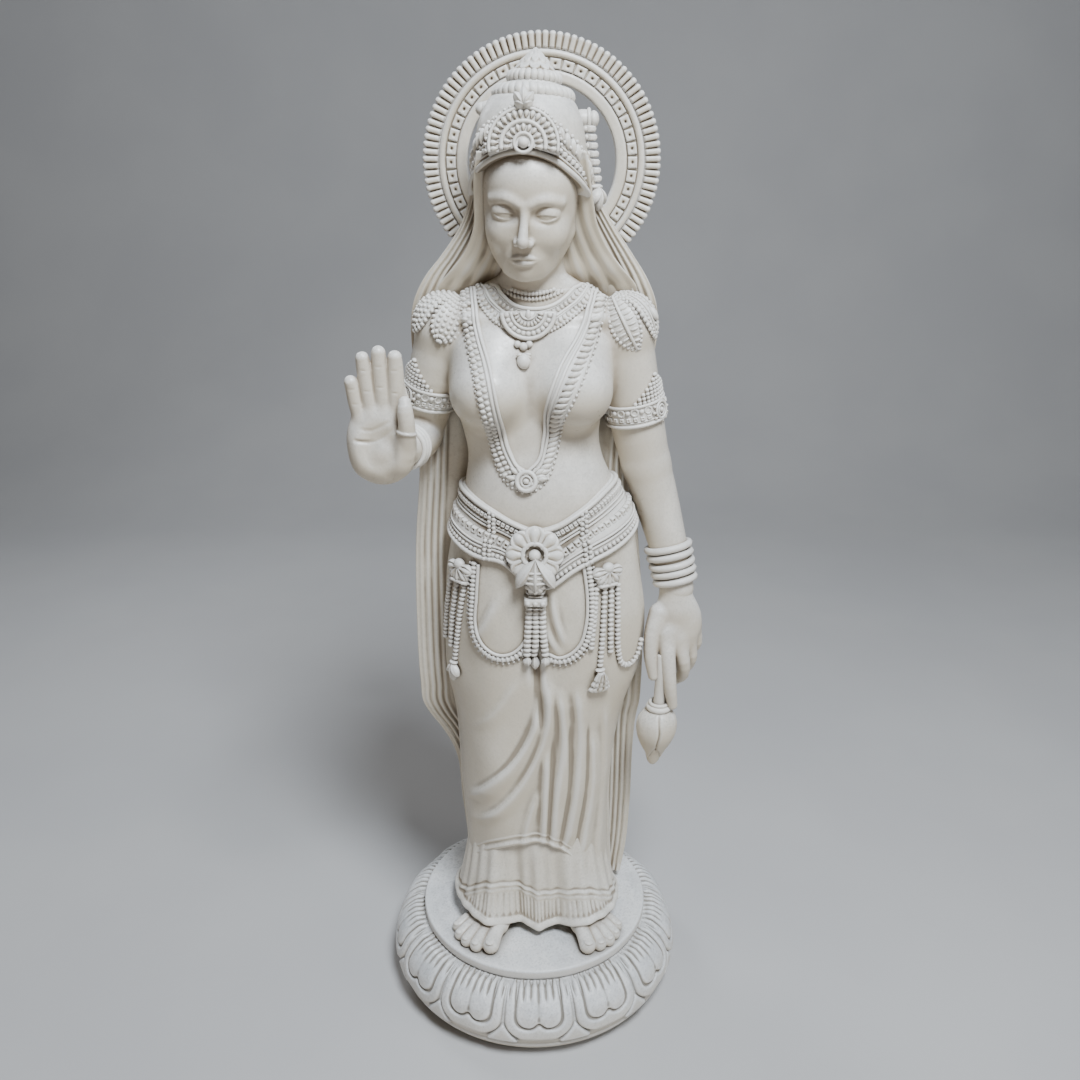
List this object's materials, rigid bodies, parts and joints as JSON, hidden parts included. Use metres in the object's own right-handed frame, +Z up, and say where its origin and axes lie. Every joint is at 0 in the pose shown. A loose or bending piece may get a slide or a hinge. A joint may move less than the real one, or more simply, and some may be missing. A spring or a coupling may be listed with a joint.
{
  "type": "hindu deity statue",
  "caption": "Standing Hindu goddess statue in white marble, right palm raised, left hand holding a lotus bud, with a ring halo and a round lotus base.",
  "frame": {"origin": "centre of the lotus base's flat underside, where the statue stands", "axes": "+Z up through the figure, -Y the way the figure faces, +X towards the figure's left hand"},
  "size_m": [0.2061, 0.2007, 0.61],
  "materials": {
    "marble_skin": "smooth honed white marble, fine crystals",
    "marble_drapery": "honed white marble, fine crystals, faint folds",
    "marble_ornament": "carved white marble, warmer in the recesses",
    "marble_base": "honed white marble, carved lotus petals",
    "steel_pin": "plain stainless rod, hidden"
  },
  "bodies": {
    "root": {"lotus_base": "marble_base", "lotus_petals": "marble_base", "plinth_disc": "marble_base", "right_foot": "marble_skin", "left_foot": "marble_skin", "petticoat_frill": "marble_drapery", "sari_skirt": "marble_drapery", "torso": "marble_skin", "head": "marble_skin", "veil": "marble_drapery", "right_upper_arm": "marble_skin", "right_forearm": "marble_skin", "right_hand": "marble_skin", "left_upper_arm": "marble_skin", "left_forearm": "marble_skin", "left_hand": "marble_skin", "lotus_bud": "marble_drapery", "crown_cap": "marble_ornament", "crown_tiara": "marble_ornament", "crown_tiers": "marble_ornament", "crown_finial": "marble_ornament", "crown_side_ornaments": "marble_ornament", "halo_ring": "marble_ornament", "halo_rays": "marble_ornament", "halo_studs": "marble_ornament", "choker": "marble_ornament", "collar_necklace": "marble_ornament", "garland_necklace": "marble_ornament", "right_shoulder_ornament": "marble_ornament", "left_shoulder_ornament": "marble_ornament", "right_armlet": "marble_ornament", "left_armlet": "marble_ornament", "right_bangles": "marble_ornament", "left_bangles": "marble_ornament", "belt": "marble_ornament", "belt_rosette": "marble_ornament", "belt_tassel": "marble_ornament", "belt_swags": "marble_ornament", "right_side_tassels": "marble_ornament", "left_side_tassels": "marble_ornament", "base_dowels": "steel_pin", "neck_dowel": "steel_pin", "wrist_dowel": "steel_pin", "halo_pins": "steel_pin"}
  },
  "joints": []
}
